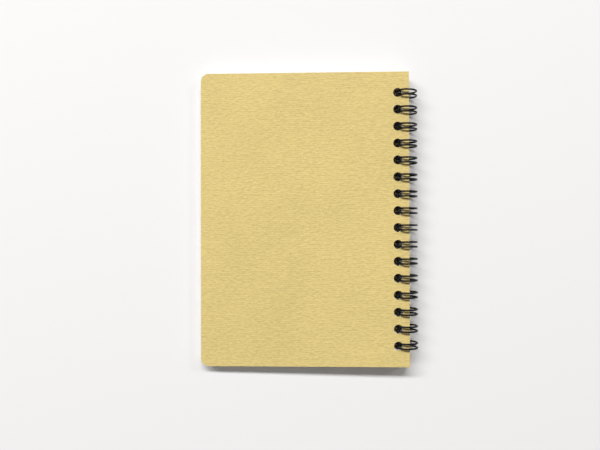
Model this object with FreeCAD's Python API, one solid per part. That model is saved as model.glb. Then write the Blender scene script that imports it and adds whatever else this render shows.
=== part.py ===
import FreeCAD, Part
import math
import os

# A pocket notebook bound with closed twin loops of wire, lying on a table with its back cover up.
# Millimetres. +X points to the bound edge, +Y to the head of the sheets and +Z up. The origin is on the
# table, under the middle of the whole notebook.
#
# The section is first drawn flat, with x and z measured from the centre of the rings, and then laid down
# as it rests: on the bottoms of the rings and on the fore-edge of the front cover.

sheet_width = 105.0  # fore-edge to bound edge
sheet_height = 148.0  # tail to head
corner_radius = 4.0  # the two corners at the fore-edge
cover_thickness = 0.4
page_thickness = 4.2  # all the sheets together

wire_diameter = 0.9
loop_pitch = 25.4 / 3.0
end_margin = 10.0  # least distance from the middle of the last loop to the end of the sheets
twin_spacing = 2.4  # between the two wires of one loop
bridge_bend_radius = 0.9  # where a wire turns from a loop into the bridge to the next one
edge_past_centre = 1.1  # how far the bound edge lies beyond the centre of the rings
hole_inset = 0.7  # middle of a hole, inside the wire's furthest reach into the sheets
pivot_inset = 0.3  # axis that a cover turns on, inside the centre of the rings

page_gap = 0.1  # between a cover and the pages at the fore-edge
seam_gap = 0.1  # between the bridges of the wire and the sheets on either side of them
turn_gap = 0.15  # between a turning cover and a corner of the other cover or the pages that it passes
ring_gap = 0.3  # between the inside of the rings and a cover that lies turned right over
hole_gap = 0.41  # between a wire and the side of its hole
tip_gap = 0.08  # between the closed tip of a loop and the bends beside it

fore_edge = edge_past_centre - sheet_width
pivot_x = -pivot_inset
pivot_to_edge = edge_past_centre - pivot_x

# Heights in the stack at the bound edge, where the front cover hangs free of the pages so that it can turn.
wire_radius = wire_diameter / 2.0
seam_height = wire_diameter + 2.0 * seam_gap
filling = page_thickness + seam_height
bound_gap = math.hypot(pivot_to_edge, filling / 2.0) - filling / 2.0 + turn_gap
half_stack = (2.0 * cover_thickness + bound_gap + filling) / 2.0
front_inner = -half_stack + cover_thickness
page_bottom = front_inner + bound_gap
page_top = page_bottom + page_thickness
back_inner = half_stack - cover_thickness


def pivot_shift(rise):
    """Height of a cover's axis off the ring centre, for the cover to pass a corner raised by rise."""
    span = 2.0 * half_stack - cover_thickness - turn_gap + rise
    return (pivot_to_edge**2 / span + cover_thickness + turn_gap + rise) / 2.0


turned_edge = 2.0 * pivot_x - edge_past_centre
turned_height = half_stack + 2.0 * pivot_shift(0.0)
ring_radius = math.hypot(turned_edge, turned_height) + ring_gap + wire_radius
ring_outer = ring_radius + wire_radius

hole_x = hole_inset - ring_radius
hole_radius = math.hypot(hole_inset, twin_spacing / 2.0) + wire_radius + hole_gap

bridge_z = page_top + seam_gap + wire_radius
bridge_x = -math.sqrt(ring_radius**2 + bridge_bend_radius**2 - bridge_z**2)
bridge_angle = math.atan2(bridge_z, bridge_x)
page_side_angle = bridge_angle + math.atan(bridge_bend_radius / ring_radius)
bend_reach = twin_spacing / 2.0 + bridge_bend_radius
tip_reach = bend_reach + wire_diameter + tip_gap
tip_setback = math.sqrt(tip_reach**2 - bend_reach**2) - bridge_bend_radius
tip_angle = bridge_angle - math.atan(tip_setback / ring_radius) + 2.0 * math.pi

loop_count = int((sheet_height - 2.0 * end_margin) / loop_pitch) + 1
loop_places = [(i - (loop_count - 1) / 2.0) * loop_pitch for i in range(loop_count)]

# The back cover rests on the bridges near the bound edge and on the pages at the fore-edge. The front cover
# meets the pages at the fore-edge too.
back_seat = (bridge_x, back_inner)
back_slope = math.atan((back_inner - page_top - page_gap) / (bridge_x - fore_edge))
back_rise = (edge_past_centre - bridge_x) * math.tan(back_slope)
front_seat = (edge_past_centre, front_inner)
front_slope = -math.atan((bound_gap - page_gap) / sheet_width)

back_pivot = (pivot_x, -pivot_shift(0.0))
front_pivot = (pivot_x, pivot_shift(back_rise))


def turned(point, centre, angle):
    """A point of the section, turned about a centre; a positive angle lowers the fore-edge."""
    x = point[0] - centre[0]
    z = point[1] - centre[1]
    across = centre[0] + x * math.cos(angle) - z * math.sin(angle)
    up = centre[1] + x * math.sin(angle) + z * math.cos(angle)
    return across, up


front_corner = turned((fore_edge, -half_stack), front_seat, front_slope)
rest_slope = math.asin(ring_outer / math.hypot(*front_corner)) - math.atan(front_corner[1] / front_corner[0])
back_corner = turned((fore_edge, half_stack), back_seat, back_slope)
leftmost = turned(back_corner, (0.0, 0.0), rest_slope)[0]
ring_centre_x = -(leftmost + ring_outer) / 2.0


def at_rest(point):
    """Where a point of the section lies once the notebook rests on the table."""
    across, up = turned(point, (0.0, 0.0), rest_slope)
    return across + ring_centre_x, up + ring_outer


def laid_down(shape):
    """A solid of the flat section, laid down as the notebook rests."""
    shape = shape.copy()
    shape.rotate(FreeCAD.Vector(0, 0, 0), FreeCAD.Vector(0, 1, 0), -math.degrees(rest_slope))
    shape.translate(FreeCAD.Vector(ring_centre_x, 0, ring_outer))
    return shape


def sheet_outline(z):
    """Outline of a sheet at height z, with round corners at the fore-edge."""
    half = sheet_height / 2.0
    near = fore_edge + corner_radius
    slant = corner_radius * (1.0 - math.sqrt(0.5))

    def at(x, y):
        return FreeCAD.Vector(x, y, z)

    edges = [
        Part.makeLine(at(edge_past_centre, -half), at(edge_past_centre, half)),
        Part.makeLine(at(edge_past_centre, half), at(near, half)),
        Part.Arc(
            at(near, half), at(fore_edge + slant, half - slant), at(fore_edge, half - corner_radius)
        ).toShape(),
        Part.makeLine(at(fore_edge, half - corner_radius), at(fore_edge, corner_radius - half)),
        Part.Arc(
            at(fore_edge, corner_radius - half), at(fore_edge + slant, slant - half), at(near, -half)
        ).toShape(),
        Part.makeLine(at(near, -half), at(edge_past_centre, -half)),
    ]
    return Part.Wire(edges)


def punched_sheet(bottom, thickness):
    """A flat sheet, or a block of them, with a row of round holes along the bound edge."""
    up = FreeCAD.Vector(0, 0, thickness)
    sheet = Part.Face(sheet_outline(bottom)).extrude(up)
    holes = [
        Part.makeCylinder(hole_radius, thickness, FreeCAD.Vector(hole_x, y, bottom))
        for y in loop_places
    ]
    return sheet.cut(holes)


def sloped(sheet, seat, slope):
    """A sheet turned about the line where it is seated; a positive slope lowers the fore-edge."""
    sheet.rotate(FreeCAD.Vector(seat[0], 0, seat[1]), FreeCAD.Vector(0, -1, 0), math.degrees(slope))
    return sheet


def front_cover():
    return sloped(punched_sheet(-half_stack, cover_thickness), front_seat, front_slope)


def page_block():
    return punched_sheet(page_bottom, page_thickness)


def back_cover():
    return sloped(punched_sheet(back_inner, cover_thickness), back_seat, back_slope)


def wire_end(point, direction):
    """Round face across the wire."""
    return Part.Face(Part.Wire(Part.makeCircle(wire_radius, point, direction)))


def bent(point, direction, centre, axis, angle):
    """A stretch of wire that starts at a point and bends about a centre."""
    return wire_end(point, direction).revolve(centre, axis, math.degrees(angle))


def on_ring(angle, y):
    """Point of a wire's middle line at an angle round the ring, and the line's direction there."""
    x = ring_radius * math.cos(angle)
    z = ring_radius * math.sin(angle)
    return FreeCAD.Vector(x, y, z), FreeCAD.Vector(-math.sin(angle), 0, math.cos(angle))


def outward(angle):
    """Direction away from the middle of the ring."""
    return FreeCAD.Vector(math.cos(angle), 0, math.sin(angle))


def loop(y):
    """One loop: two round wires, joined by the half-round tip that closes on the pages' side."""
    solids = []
    for side in (-1.0, 1.0):
        strand_y = y + side * twin_spacing / 2.0
        start, direction = on_ring(page_side_angle, strand_y)
        middle = FreeCAD.Vector(0, strand_y, 0)
        axis = FreeCAD.Vector(0, -1, 0)
        solids.append(bent(start, direction, middle, axis, tip_angle - page_side_angle))
    tip_start, tip_direction = on_ring(tip_angle, y - twin_spacing / 2.0)
    tip_middle = on_ring(tip_angle, y)[0]
    solids.append(bent(tip_start, tip_direction, tip_middle, -outward(tip_angle), math.pi))
    return solids


def bridge(y, next_y):
    """The wire from one loop to the next: a bend, a straight run between two sheets, and a bend."""
    solids = []
    from_loop, along = on_ring(page_side_angle, y + twin_spacing / 2.0)
    to_loop = on_ring(page_side_angle, next_y - twin_spacing / 2.0)[0]
    step = FreeCAD.Vector(0, bridge_bend_radius, 0)
    out = outward(page_side_angle)
    quarter = math.pi / 2.0
    solids.append(bent(from_loop, along, from_loop + step, out, quarter))
    solids.append(bent(to_loop, along, to_loop - step, -out, quarter))
    run_start = from_loop + step - along * bridge_bend_radius
    run = FreeCAD.Vector(0, next_y - y - 2.0 * bend_reach, 0)
    solids.append(wire_end(run_start, run).extrude(run))
    return solids


def twin_loop_wire():
    """The whole binding, bent from one length of wire."""
    solids = []
    for y in loop_places:
        solids += loop(y)
    for y, next_y in zip(loop_places, loop_places[1:]):
        solids += bridge(y, next_y)
    return solids[0].fuse(solids[1:])


def main():
    os.makedirs("parts", exist_ok=True)
    for piece in (front_cover, page_block, twin_loop_wire, back_cover):
        laid_down(piece()).exportStep("parts/" + piece.__name__ + ".step")


main()
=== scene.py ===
import math
import random

import bmesh
import bpy
from bpy.props import FloatProperty, FloatVectorProperty, IntProperty, PointerProperty
from mathutils import Matrix, Vector


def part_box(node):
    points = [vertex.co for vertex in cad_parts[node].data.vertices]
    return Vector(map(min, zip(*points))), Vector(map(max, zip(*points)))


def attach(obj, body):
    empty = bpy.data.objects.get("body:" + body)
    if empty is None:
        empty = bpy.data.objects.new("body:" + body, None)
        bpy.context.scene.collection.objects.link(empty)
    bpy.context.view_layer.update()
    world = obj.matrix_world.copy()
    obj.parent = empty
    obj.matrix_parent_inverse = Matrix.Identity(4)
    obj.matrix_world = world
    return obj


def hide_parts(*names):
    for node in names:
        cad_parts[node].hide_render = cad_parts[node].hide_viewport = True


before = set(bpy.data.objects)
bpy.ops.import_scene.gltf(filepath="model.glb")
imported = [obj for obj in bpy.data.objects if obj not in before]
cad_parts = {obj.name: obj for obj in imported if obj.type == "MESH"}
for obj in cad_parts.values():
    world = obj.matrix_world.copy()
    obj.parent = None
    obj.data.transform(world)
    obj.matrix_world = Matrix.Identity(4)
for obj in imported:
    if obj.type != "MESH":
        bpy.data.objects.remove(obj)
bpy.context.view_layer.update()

bl_info = {
    "name": "Wire-bound notebook",
    "version": (1, 0, 0),
    "blender": (4, 5, 0),
    "location": "View3D > Sidebar > Notebook",
    "description": "Kraft covers, loose leaves and twin-loop wire of a pocket notebook, on its packed frame",
    "category": "Add Mesh",
}

MM = 0.001
SAME_PLACE = 0.001 * MM  # points nearer than this are one point
FLAT = math.radians(1.0)  # faces that meet at less than this are one flat face
SHARP = math.radians(60.0)  # a cut edge bends more than this
LEVEL = 0.9999  # the least share of Z in the normal of a sheet's upper or lower face
SHEET_CREASE = math.radians(40.0)
WIRE_CREASE = math.radians(50.0)
LEAF_END = 5.0 * MM  # the stretch at a leaf's head or tail that is moved to shorten it
LEAF_SEED = 3

# Noise scales in waves per metre, for X, Y and Z or for all three. The finer a noise is along Y, the more
# its marks run along X.
SLOW_WANDER = (190.0, 280.0, 190.0)
QUICK_WANDER = (600.0, 700.0, 600.0)
RIB_FADE = (260.0, 380.0, 260.0)
STREAKS = (520.0, 800.0, 520.0)
FLECKS = (1300.0, 2000.0, 1300.0)
STRANDS = (620.0, 6500.0, 620.0)
CLOUD = 38.0
STRAND_BENDS = 420.0
GRAIN = 4200.0
PEEL = 1500.0
RUBBED = 260.0

WHITE = (1.0, 1.0, 1.0, 1.0)
FLOOR_HALF = 6.0  # metres
# Lamps, for a lamp height of 1: place, length along X and depth.
LONG_LAMP = (-0.51, 0.75, 1.0), 1.78, 0.18
SIDE_LAMP = (1.35, 0.75, 1.0), 0.4, 0.12
FRAME_WIDTH = 36.0  # of the camera, in millimetres
NEAREST_SEEN = 0.01  # metres


class CardSettings(bpy.types.PropertyGroup):
    colour: FloatVectorProperty(
        name="Card colour", description="Colour of the kraft card", subtype="COLOR",
        default=(0.696, 0.55, 0.217),
    )
    rib_pitch: FloatProperty(
        name="Rib pitch", description="Distance from one embossed rib to the next", unit="LENGTH",
        default=1.05 * MM,
    )
    rib_wave: FloatProperty(
        name="Rib wave", description="How far the ribs wander, in turns of their own pitch", default=0.55
    )
    rib_depth: FloatProperty(
        name="Rib depth", description="Height of the embossed ribs", unit="LENGTH", default=0.16 * MM
    )
    grain_depth: FloatProperty(
        name="Grain depth", description="Height of the card's fibres", unit="LENGTH", default=0.03 * MM
    )
    edge_round: FloatProperty(
        name="Edge round", description="Round left on the card's cut edges", unit="LENGTH",
        default=0.07 * MM,
    )


class LeafSettings(bpy.types.PropertyGroup):
    colour: FloatVectorProperty(
        name="Paper colour", description="Colour of the leaves", subtype="COLOR", default=(0.86, 0.86, 0.85)
    )
    count: IntProperty(name="Leaves", description="Number of leaves in the block", default=42, min=2)
    air: FloatProperty(
        name="Air", description="Share of a leaf's space that is air", subtype="FACTOR",
        default=0.12, min=0.0, max=0.9,
    )
    slip: FloatProperty(
        name="Slip", description="How far the top leaf has slipped out at the bound edge", unit="LENGTH",
        default=0.1 * MM,
    )
    skew: FloatProperty(
        name="Skew", description="How far the top leaf is turned in its plane", unit="ROTATION",
        default=math.radians(0.03),
    )
    unevenness: FloatProperty(
        name="Unevenness", description="How far single leaves stray from the block", unit="LENGTH",
        default=0.06 * MM,
    )
    trim: FloatProperty(
        name="Trim", description="How much shorter than the covers the leaves are, at each end",
        unit="LENGTH", default=0.1 * MM,
    )


class WireSettings(bpy.types.PropertyGroup):
    colour: FloatVectorProperty(
        name="Coating colour", description="Colour of the wire's coating", subtype="COLOR",
        default=(0.005, 0.005, 0.006),
    )
    pitch: FloatProperty(
        name="Loop pitch", description="Distance from one twin loop to the next, a third of an inch",
        unit="LENGTH", default=25.4 / 3.0 * MM,
    )
    tip_setback: FloatProperty(
        name="Tip setback", description="From the bridges to the centre of a loop's round tip",
        unit="LENGTH", default=1.353 * MM,
    )
    sides: IntProperty(name="Sides", description="Facets round the wire", default=14, min=6)
    arc_steps: IntProperty(name="Arc steps", description="Steps along each ring", default=60, min=12)


class StageSettings(bpy.types.PropertyGroup):
    camera_place: FloatVectorProperty(
        name="Camera place", description="Where the camera is", subtype="TRANSLATION", unit="LENGTH",
        default=(-4.61 * MM, -5.38 * MM, 308.99 * MM),
    )
    camera_turn: FloatVectorProperty(
        name="Camera turn", description="How the camera is turned from looking straight down",
        subtype="EULER", unit="ROTATION",
        default=(math.radians(0.483), math.radians(0.003), math.radians(-0.14)),
    )
    lens: FloatProperty(
        name="Lens", description="Focal length on a 36 mm frame, in millimetres", default=36.0
    )
    floor_colour: FloatVectorProperty(
        name="Floor colour", description="Colour of the table top", subtype="COLOR", default=(0.9, 0.9, 0.9)
    )
    fade_start: FloatProperty(
        name="Fade start", description="Where the table top begins to fade into the white room",
        unit="LENGTH", default=0.2,
    )
    fade_end: FloatProperty(
        name="Fade end", description="Where the table top has faded altogether", unit="LENGTH", default=1.6
    )
    lamp_power: FloatProperty(
        name="Lamp power", description="Power of the long soft lamp", unit="POWER", default=105.0
    )
    side_power: FloatProperty(
        name="Side power", description="Power of the small lamp at the right", unit="POWER", default=24.0
    )
    lamp_height: FloatProperty(
        name="Lamp height", description="Height of the lamps", unit="LENGTH", default=2.2
    )
    sky: FloatProperty(name="Sky", description="Strength of the even light from all round", default=0.205)
    sky_colour: FloatVectorProperty(
        name="Sky colour", description="Colour of the even light from all round", subtype="COLOR",
        default=(1.0, 0.95, 0.91),
    )


def shader_node(tree, kind, inputs=(), **settings):
    """A shader node with its settings; inputs gives a value, or a socket to link, for each named input."""
    made = tree.nodes.new(kind)
    for key, value in settings.items():
        setattr(made, key, value)
    for key, value in dict(inputs).items():
        if isinstance(value, bpy.types.NodeSocket):
            tree.links.new(value, made.inputs[key])
        else:
            made.inputs[key].default_value = value
    return made


def maths(tree, operation, *values):
    """A Math node of the values and sockets given."""
    return shader_node(tree, "ShaderNodeMath", enumerate(values), operation=operation).outputs[0]


def object_place(tree):
    """Place on the surface, in the object's own coordinates."""
    return shader_node(tree, "ShaderNodeTexCoord").outputs["Object"]


def noise(tree, place, scale, detail=3.0, roughness=0.55):
    """Grey noise from 0 to 1, with a mean of a half. The scale is one number, or three for X, Y and Z."""
    if isinstance(scale, tuple):
        place = shader_node(tree, "ShaderNodeMapping", {"Vector": place, "Scale": scale}).outputs["Vector"]
        scale = 1.0
    inputs = {"Vector": place, "Scale": scale, "Detail": detail, "Roughness": roughness}
    return shader_node(tree, "ShaderNodeTexNoise", inputs).outputs["Fac"]


def centred(tree, value):
    """A grey value moved to lie about zero, from -1 to 1."""
    return maths(tree, "MULTIPLY_ADD", value, 2.0, -1.0)


def smooth_step(tree, value, start, end):
    """0 below the start, 1 above the end, and an even passage between them."""
    inputs = {"Value": value, "From Min": start, "From Max": end}
    ramp = shader_node(tree, "ShaderNodeMapRange", inputs, interpolation_type="SMOOTHSTEP")
    return ramp.outputs["Result"]


def group(name, inputs, outputs):
    """A shader node group with float inputs and outputs, and the sockets at its two ends."""
    tree = bpy.data.node_groups.new(name, "ShaderNodeTree")
    for socket_name, default in inputs.items():
        socket = tree.interface.new_socket(socket_name, in_out="INPUT", socket_type="NodeSocketFloat")
        socket.default_value = default
    for socket_name in outputs:
        tree.interface.new_socket(socket_name, in_out="OUTPUT", socket_type="NodeSocketFloat")
    return tree, tree.nodes.new("NodeGroupInput").outputs, tree.nodes.new("NodeGroupOutput").inputs


def wavy_ribs():
    """Embossed ribs along X that wander and fade in and out, as a height from 0 to 1."""
    tree, given, out = group("wavy_ribs", {"Ribs per metre": 1000.0, "Wave": 0.5}, ["Height"])
    place = object_place(tree)
    y = shader_node(tree, "ShaderNodeSeparateXYZ", {"Vector": place}).outputs["Y"]
    slow = centred(tree, noise(tree, place, SLOW_WANDER, 1.5))
    quick = centred(tree, noise(tree, place, QUICK_WANDER, 1.0))
    wander = maths(tree, "MULTIPLY_ADD", quick, 0.35, maths(tree, "MULTIPLY", slow, 1.6))
    even = maths(tree, "MULTIPLY", y, given["Ribs per metre"])
    turns = maths(tree, "MULTIPLY_ADD", wander, given["Wave"], even)
    wave = maths(tree, "SINE", maths(tree, "MULTIPLY", turns, 2.0 * math.pi))
    strength = maths(tree, "MULTIPLY_ADD", noise(tree, place, RIB_FADE, 2.0), 1.5, -0.15)
    ribs = maths(tree, "MULTIPLY_ADD", maths(tree, "MULTIPLY", wave, strength), 0.16, 0.5)
    streaks = centred(tree, noise(tree, place, STREAKS, 2.0))
    tree.links.new(maths(tree, "MULTIPLY_ADD", streaks, 0.95, ribs), out["Height"])
    return tree


def paper_fibre():
    """Pressed fibres: a height, and masks of flecks, of slow cloudy change and of single fibres."""
    tree, given, out = group("paper_fibre", {"Fineness": 1.0}, ["Height", "Flecks", "Cloud", "Hairs"])
    inputs = {0: object_place(tree), "Scale": given["Fineness"]}
    place = shader_node(tree, "ShaderNodeVectorMath", inputs, operation="SCALE").outputs[0]
    tree.links.new(noise(tree, place, FLECKS, 3.0, 0.6), out["Flecks"])
    tree.links.new(noise(tree, place, CLOUD, 3.0, 0.5), out["Cloud"])
    bend = maths(tree, "MULTIPLY", noise(tree, place, STRAND_BENDS, 1.0), 1.2 * MM)
    shift = shader_node(tree, "ShaderNodeCombineXYZ", {"Y": bend}).outputs[0]
    curled = shader_node(tree, "ShaderNodeVectorMath", {0: place, 1: shift}, operation="ADD").outputs[0]
    hairs = smooth_step(tree, noise(tree, curled, STRANDS, 1.0, 0.4), 0.63, 0.7)
    tree.links.new(hairs, out["Hairs"])
    grain = noise(tree, place, GRAIN, 3.0, 0.6)
    tree.links.new(maths(tree, "MULTIPLY_ADD", hairs, 0.35, grain), out["Height"])
    return tree


def placed_group(tree, made, inputs):
    """A node group placed in a material, with its own values."""
    held = shader_node(tree, "ShaderNodeGroup", node_tree=made)
    for key, value in inputs.items():
        held.inputs[key].default_value = value
    return held.outputs


def new_material(name):
    """A material with an empty node tree, its Principled shader and its output."""
    material = bpy.data.materials.new(name)
    material.use_nodes = True
    tree = material.node_tree
    tree.nodes.clear()
    shader = tree.nodes.new("ShaderNodeBsdfPrincipled")
    output = tree.nodes.new("ShaderNodeOutputMaterial")
    tree.links.new(shader.outputs["BSDF"], output.inputs["Surface"])
    return material, tree, shader


def shaded(tree, colour, *masks):
    """A colour made lighter and darker by masks, each given with its strength."""
    brightness = 1.0
    for mask, strength in masks:
        brightness = maths(tree, "MULTIPLY_ADD", centred(tree, mask), strength, brightness)
    inputs = {0: tuple(colour), "Scale": brightness}
    return shader_node(tree, "ShaderNodeVectorMath", inputs, operation="SCALE").outputs[0]


def bump(tree, height, distance, strength=1.0, normal=None):
    """The surface's normal, tilted by a height that stands for a distance in metres."""
    inputs = {"Height": height, "Distance": distance, "Strength": strength}
    if normal is not None:
        inputs["Normal"] = normal
    return shader_node(tree, "ShaderNodeBump", inputs).outputs["Normal"]


def kraft_card(card, ribs, fibre):
    """Yellowish kraft card with wavy embossed ribs, pressed fibres, a slightly uneven colour and painted
    shade of the ribs.
    """
    material, tree, shader = new_material("ribbed_kraft")
    rib = placed_group(tree, ribs, {"Ribs per metre": 1.0 / card.rib_pitch, "Wave": card.rib_wave})
    pulp = placed_group(tree, fibre, {"Fineness": 1.0})
    # The rib height lightens the colour on the crests and darkens it in the hollows: painted shade of the
    # embossed relief. Flecks, cloud and hairs are the card's own uneven colour.
    masks = (rib["Height"], 0.09), (pulp["Flecks"], 0.14), (pulp["Cloud"], 0.075), (pulp["Hairs"], -0.06)
    tree.links.new(shaded(tree, card.colour, *masks), shader.inputs["Base Color"])
    roughness = maths(tree, "MULTIPLY_ADD", pulp["Flecks"], 0.12, 0.74)
    tree.links.new(roughness, shader.inputs["Roughness"])
    shader.inputs["Specular IOR Level"].default_value = 0.3
    grain = bump(tree, pulp["Height"], card.grain_depth)
    tree.links.new(bump(tree, rib["Height"], card.rib_depth, 1.0, grain), shader.inputs["Normal"])
    return material


def page_paper(leaf, fibre):
    """Smooth white writing paper."""
    material, tree, shader = new_material("writing_paper")
    pulp = placed_group(tree, fibre, {"Fineness": 0.8})
    colour = shaded(tree, leaf.colour, (pulp["Flecks"], 0.03), (pulp["Cloud"], 0.015))
    tree.links.new(colour, shader.inputs["Base Color"])
    shader.inputs["Roughness"].default_value = 0.82
    shader.inputs["Specular IOR Level"].default_value = 0.25
    tree.links.new(bump(tree, pulp["Height"], 0.006 * MM, 0.6), shader.inputs["Normal"])
    return material


def coated_wire(wire):
    """Black coated steel wire: a satin skin, rougher in places, with a faint orange-peel."""
    material, tree, shader = new_material("coated_steel")
    place = object_place(tree)
    peel = noise(tree, place, PEEL, 2.0)
    rubbed = noise(tree, place, RUBBED, 3.0, 0.6)
    tree.links.new(shaded(tree, wire.colour, (rubbed, 0.35)), shader.inputs["Base Color"])
    tree.links.new(maths(tree, "MULTIPLY_ADD", rubbed, 0.25, 0.2), shader.inputs["Roughness"])
    shader.inputs["Specular IOR Level"].default_value = 0.2
    tree.links.new(bump(tree, peel, 0.01 * MM, 0.5), shader.inputs["Normal"])
    return material


def table_top(stage):
    """Matt white table top that fades into the white room round it, far from the notebook."""
    material, tree, shader = new_material("table_top")
    shader.inputs["Base Color"].default_value = (*stage.floor_colour, 1.0)
    shader.inputs["Roughness"].default_value = 0.9
    shader.inputs["Specular IOR Level"].default_value = 0.1
    away = shader_node(tree, "ShaderNodeVectorMath", {0: object_place(tree)}, operation="LENGTH")
    far = smooth_step(tree, away.outputs["Value"], stage.fade_start, stage.fade_end)
    seen = shader_node(tree, "ShaderNodeLightPath").outputs["Is Camera Ray"]
    glow = shader_node(tree, "ShaderNodeEmission", {"Color": WHITE}).outputs[0]
    inputs = {0: maths(tree, "MULTIPLY", far, seen), 1: shader.outputs[0], 2: glow}
    mixed = shader_node(tree, "ShaderNodeMixShader", inputs).outputs[0]
    tree.links.new(mixed, tree.get_output_node("ALL").inputs["Surface"])
    return material


def flat_place(node):
    """Place of a flat CAD sheet, and its size. Local X runs to the bound edge, Y to the head and Z out of
    the upper face; the origin is where the lower face meets the bound edge."""
    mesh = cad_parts[node].data
    up = max(mesh.polygons, key=lambda face: face.area).normal.copy()
    if up.z < 0.0:
        up.negate()
    head = Vector((0.0, 1.0, 0.0))
    turn = Matrix((head.cross(up), head, up)).transposed()
    local = [turn.transposed() @ vertex.co for vertex in mesh.vertices]
    low = Vector(min(point[i] for point in local) for i in range(3))
    high = Vector(max(point[i] for point in local) for i in range(3))
    place = turn.to_4x4() @ Matrix.Translation((high.x, 0.0, low.z))
    return place, high - low


def merged_copy(node, place):
    """The CAD sheet's own closed shape in local coordinates, with its flat faces joined up, as a bmesh."""
    shape = bmesh.new()
    shape.from_mesh(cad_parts[node].data)
    bmesh.ops.remove_doubles(shape, verts=shape.verts, dist=SAME_PLACE)
    bmesh.ops.transform(shape, matrix=place.inverted(), verts=shape.verts)
    bmesh.ops.dissolve_limit(shape, angle_limit=FLAT, verts=shape.verts, edges=shape.edges)
    return shape


def finished(shape, name, material, body, stands_for, crease):
    """A bmesh made a piece that rides on its body and stands for its CAD node. It is shaded smooth, but for
    edges that bend further than the crease angle."""
    for face in shape.faces:
        face.smooth = True
    for edge in shape.edges:
        if edge.calc_face_angle(0.0) > crease:
            edge.smooth = False
    mesh = bpy.data.meshes.new(name)
    shape.to_mesh(mesh)
    shape.free()
    mesh.materials.append(material)
    piece = bpy.data.objects.new(name, mesh)
    bpy.context.scene.collection.objects.link(piece)
    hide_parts(stands_for)
    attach(piece, body)


def card_cover(node, name, card):
    """A sheet of card with its holes, round corners and softened cut edges."""
    place, _ = flat_place(node)
    shape = merged_copy(node, place)
    rims = [edge for edge in shape.edges if edge.calc_face_angle(0.0) > SHARP]
    bmesh.ops.bevel(
        shape, geom=rims, offset=card.edge_round, offset_type="OFFSET", affect="EDGES", segments=2,
        profile=0.5, material=-1, clamp_overlap=True,
    )
    bmesh.ops.triangulate(shape, faces=[face for face in shape.faces if len(face.verts) > 4])
    for edge in shape.edges:
        flat = [abs(face.normal.z) > LEVEL for face in edge.link_faces]
        if any(flat) and not all(flat):
            edge.smooth = False
    bmesh.ops.transform(shape, matrix=place, verts=shape.verts)
    finished(shape, name, bpy.data.materials["ribbed_kraft"], node, node, SHEET_CREASE)


class NOTEBOOK_OT_finishes(bpy.types.Operator):
    """Make the card, paper and wire finishes"""

    bl_idname = "notebook.finishes"
    bl_label = "Finishes"

    def execute(self, context):
        scene = context.scene
        fibre = paper_fibre()
        kraft_card(scene.notebook_card, wavy_ribs(), fibre)
        page_paper(scene.notebook_leaf, fibre)
        coated_wire(scene.notebook_wire)
        return {"FINISHED"}


class NOTEBOOK_OT_covers(bpy.types.Operator):
    """Make the back and front covers of kraft card"""

    bl_idname = "notebook.covers"
    bl_label = "Covers"

    def execute(self, context):
        card_cover("back_cover", "back_cover_card", context.scene.notebook_card)
        card_cover("front_cover", "front_cover_card", context.scene.notebook_card)
        return {"FINISHED"}


class NOTEBOOK_OT_leaves(bpy.types.Operator):
    """Make the block of loose leaves"""

    bl_idname = "notebook.leaves"
    bl_label = "Leaves"

    def execute(self, context):
        leaf = context.scene.notebook_leaf
        place, size = flat_place("page_block")
        shape = merged_copy("page_block", place)
        for end in (-1.0, 1.0):
            verts = [vertex for vertex in shape.verts if vertex.co.y * end > size.y / 2.0 - LEAF_END]
            bmesh.ops.translate(shape, verts=verts, vec=(0.0, -end * leaf.trim, 0.0))
        step = size.z / leaf.count
        thin = Matrix.Diagonal((1.0, 1.0, (1.0 - leaf.air) / leaf.count, 1.0))
        bmesh.ops.transform(shape, matrix=thin, verts=shape.verts)
        bmesh.ops.triangulate(shape, faces=shape.faces)
        first = shape.verts[:] + shape.edges[:] + shape.faces[:]
        stray = random.Random(LEAF_SEED)
        for i in range(1, leaf.count):
            share = (i / (leaf.count - 1)) ** 2
            made = bmesh.ops.duplicate(shape, geom=first)["geom"]
            verts = [item for item in made if isinstance(item, bmesh.types.BMVert)]
            out = leaf.slip * share + stray.uniform(-leaf.unevenness, leaf.unevenness)
            along = stray.uniform(-leaf.unevenness, leaf.unevenness) - leaf.skew * share * size.x / 2.0
            moved = Matrix.Translation((out, along, step * i)) @ Matrix.Rotation(-leaf.skew * share, 4, "Z")
            bmesh.ops.transform(shape, matrix=moved, verts=verts)
        bmesh.ops.transform(shape, matrix=place, verts=shape.verts)
        finished(
            shape, "page_leaves", bpy.data.materials["writing_paper"], "book",
            "page_block", SHEET_CREASE,
        )
        return {"FINISHED"}


def wire_measures(wire):
    """Sizes of the binding, read from its CAD node: the ring's centre and radius, the wire's radius, the
    place of the bridges, half the spacing of twin wires, the radius of the bends into a bridge and the number
    of loops."""
    low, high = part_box("twin_loop_wire")
    outer = (high.z - low.z) / 2.0
    centre = Vector((high.x - outer, 0.0, low.z + outer))
    points = [vertex.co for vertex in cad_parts["twin_loop_wire"].data.vertices]
    reach = min(abs(point.y) for point in points)
    bridge = [point for point in points if abs(point.y) - reach < SAME_PLACE]
    left, right = min(point.x for point in bridge), max(point.x for point in bridge)
    under, over = min(point.z for point in bridge), max(point.z for point in bridge)
    seam = Vector(((left + right) / 2.0, 0.0, (under + over) / 2.0))
    radius = (right - left) / 2.0
    count = int((high.y - low.y) / wire.pitch) + 1
    half_twin = high.y - (count - 1) / 2.0 * wire.pitch - radius
    return centre, outer - radius, radius, seam, half_twin, wire.pitch / 2.0 - reach - half_twin, count


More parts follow.
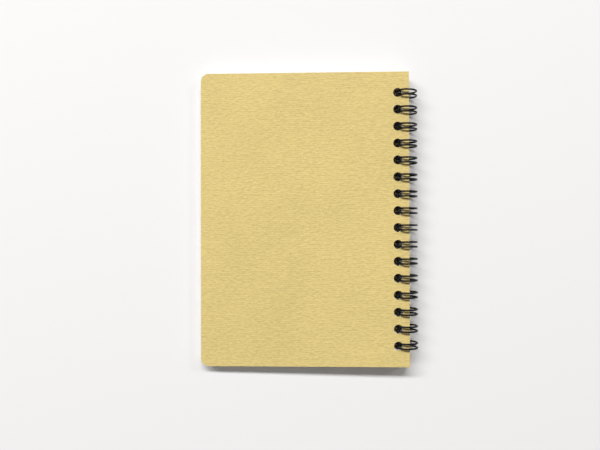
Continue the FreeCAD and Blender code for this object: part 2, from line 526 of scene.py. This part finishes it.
class NOTEBOOK_OT_binding(bpy.types.Operator):
    """Bend the twin-loop wire"""

    bl_idname = "notebook.binding"
    bl_label = "Binding wire"

    def execute(self, context):
        wire = context.scene.notebook_wire
        centre, ring, radius, seam, half_twin, bend, count = wire_measures(wire)
        seam_angle = math.atan2(seam.z - centre.z, seam.x - centre.x)
        start = seam_angle + math.atan(bend / ring)
        tip = seam_angle - math.atan(wire.tip_setback / ring) + 2.0 * math.pi
        out = Vector((math.cos(start), 0.0, math.sin(start)))
        tip_out = Vector((math.cos(tip), 0.0, math.sin(tip)))
        turn_axis = Vector((0.0, -1.0, 0.0))
        first_y = -(count - 1) / 2.0 * wire.pitch

        shape = bmesh.new()
        along = Vector((-math.sin(start), 0.0, math.cos(start)))
        facing = along.to_track_quat("Z", "Y").to_matrix().to_4x4()
        first_ring = Matrix.Translation(centre + out * ring + Vector((0.0, first_y - half_twin, 0.0)))
        end = bmesh.ops.create_circle(shape, segments=wire.sides, radius=radius, matrix=first_ring @ facing)
        edge_ring = list({edge for vertex in end["verts"] for edge in vertex.link_edges})

        def bent(geom, middle, axis, angle, steps):
            made = bmesh.ops.spin(shape, geom=geom, cent=middle, axis=axis, angle=angle, steps=steps)
            return [item for item in made["geom_last"] if isinstance(item, bmesh.types.BMEdge)]

        small_steps = max(4, wire.sides // 2)
        near = Vector((centre.x, first_y - half_twin, centre.z))
        far = Vector((centre.x, first_y + half_twin, centre.z))
        tip_middle = Vector((centre.x, first_y, centre.z)) + tip_out * ring
        edge_ring = bent(edge_ring, near, turn_axis, tip - start, wire.arc_steps)
        edge_ring = bent(edge_ring, tip_middle, -tip_out, math.pi, 2 * small_steps)
        edge_ring = bent(edge_ring, far, -turn_axis, tip - start, wire.arc_steps)
        loop_geom = shape.verts[:] + shape.edges[:] + shape.faces[:]
        into_bridge = Vector((centre.x, first_y + half_twin + bend, centre.z)) + out * ring
        edge_ring = bent(edge_ring, into_bridge, out, math.pi / 2.0, small_steps)
        run = bmesh.ops.extrude_edge_only(shape, edges=edge_ring)["geom"]
        run_verts = [item for item in run if isinstance(item, bmesh.types.BMVert)]
        edge_ring = [
            item for item in run
            if isinstance(item, bmesh.types.BMEdge) and all(v in run_verts for v in item.verts)
        ]
        length = wire.pitch - 2.0 * (half_twin + bend)
        bmesh.ops.translate(shape, verts=run_verts, vec=(0.0, length, 0.0))
        from_bridge = into_bridge + Vector((0.0, length, 0.0))
        bent(edge_ring, from_bridge, out, math.pi / 2.0, small_steps)
        whole_geom = shape.verts[:] + shape.edges[:] + shape.faces[:]
        for i in range(1, count):
            made = bmesh.ops.duplicate(shape, geom=whole_geom if i < count - 1 else loop_geom)["geom"]
            verts = [item for item in made if isinstance(item, bmesh.types.BMVert)]
            bmesh.ops.translate(shape, verts=verts, vec=(0.0, i * wire.pitch, 0.0))
        bmesh.ops.remove_doubles(shape, verts=shape.verts, dist=2.0 * SAME_PLACE)
        bmesh.ops.holes_fill(shape, edges=[edge for edge in shape.edges if edge.is_boundary])
        bmesh.ops.recalc_face_normals(shape, faces=shape.faces)
        finished(
            shape, "binding_wire", bpy.data.materials["coated_steel"], "book",
            "twin_loop_wire", WIRE_CREASE,
        )
        return {"FINISHED"}


class NOTEBOOK_OT_stage(bpy.types.Operator):
    """Lay the table top, hang the lamps and set the camera"""

    bl_idname = "notebook.stage"
    bl_label = "Stage"

    def hang(self, context, name, lamp_shape, power):
        """Hang a soft lamp; its place and size are given for a height of 1."""
        height = context.scene.notebook_stage.lamp_height
        place, length, depth = lamp_shape
        data = bpy.data.lights.new(name, "AREA")
        data.shape = "RECTANGLE"
        data.size = length * height
        data.size_y = depth * height
        data.energy = power
        lamp = bpy.data.objects.new(name, data)
        lamp.location = Vector(place) * height
        lamp.rotation_euler = (-math.atan(place[1]), 0.0, 0.0)
        context.scene.collection.objects.link(lamp)

    def execute(self, context):
        stage = context.scene.notebook_stage
        floor_shape = bmesh.new()
        bmesh.ops.create_grid(floor_shape, x_segments=1, y_segments=1, size=FLOOR_HALF)
        floor_mesh = bpy.data.meshes.new("table_top")
        floor_shape.to_mesh(floor_mesh)
        floor_shape.free()
        floor_mesh.materials.append(table_top(stage))
        floor = bpy.data.objects.new("table_top", floor_mesh)
        context.scene.collection.objects.link(floor)

        self.hang(context, "long_lamp", LONG_LAMP, stage.lamp_power)
        self.hang(context, "side_lamp", SIDE_LAMP, stage.side_power)

        world = bpy.data.worlds.new("even_light")
        world.use_nodes = True
        tree = world.node_tree
        tree.nodes.clear()
        seen = shader_node(tree, "ShaderNodeLightPath").outputs["Is Camera Ray"]
        inputs = {"Color": (*stage.sky_colour, 1.0), "Strength": stage.sky}
        light = shader_node(tree, "ShaderNodeBackground", inputs).outputs[0]
        white = shader_node(tree, "ShaderNodeBackground", {"Color": WHITE}).outputs[0]
        mixed = shader_node(tree, "ShaderNodeMixShader", {0: seen, 1: light, 2: white}).outputs[0]
        shader_node(tree, "ShaderNodeOutputWorld", {"Surface": mixed})
        context.scene.world = world

        camera_data = bpy.data.cameras.new("camera")
        camera_data.lens = stage.lens
        camera_data.sensor_width = FRAME_WIDTH
        camera_data.clip_start = NEAREST_SEEN
        camera = bpy.data.objects.new("camera", camera_data)
        camera.location = stage.camera_place
        camera.rotation_euler = stage.camera_turn
        context.scene.collection.objects.link(camera)
        context.scene.camera = camera
        context.scene.view_settings.view_transform = "Standard"
        return {"FINISHED"}


OPERATORS = (
    NOTEBOOK_OT_finishes,
    NOTEBOOK_OT_covers,
    NOTEBOOK_OT_leaves,
    NOTEBOOK_OT_binding,
    NOTEBOOK_OT_stage,
)
SETTINGS = {
    "notebook_card": CardSettings,
    "notebook_leaf": LeafSettings,
    "notebook_wire": WireSettings,
    "notebook_stage": StageSettings,
}


class NOTEBOOK_PT_panel(bpy.types.Panel):
    """Sizes, colours and steps of the notebook"""

    bl_idname = "NOTEBOOK_PT_panel"
    bl_label = "Notebook"
    bl_space_type = "VIEW_3D"
    bl_region_type = "UI"
    bl_category = "Notebook"

    def draw(self, context):
        layout = self.layout
        for name, settings in SETTINGS.items():
            box = layout.box()
            for key in settings.__annotations__:
                box.prop(getattr(context.scene, name), key)
        for operator in OPERATORS:
            layout.operator(operator.bl_idname)


def register():
    for cls in (*SETTINGS.values(), *OPERATORS, NOTEBOOK_PT_panel):
        bpy.utils.register_class(cls)
    for name, settings in SETTINGS.items():
        setattr(bpy.types.Scene, name, PointerProperty(type=settings))


def unregister():
    for name in SETTINGS:
        delattr(bpy.types.Scene, name)
    for cls in reversed((*SETTINGS.values(), *OPERATORS, NOTEBOOK_PT_panel)):
        bpy.utils.unregister_class(cls)


def main():
    register()
    bpy.ops.notebook.finishes()
    bpy.ops.notebook.covers()
    bpy.ops.notebook.leaves()
    bpy.ops.notebook.binding()
    bpy.ops.notebook.stage()


if __name__ == "__main__":
    main()
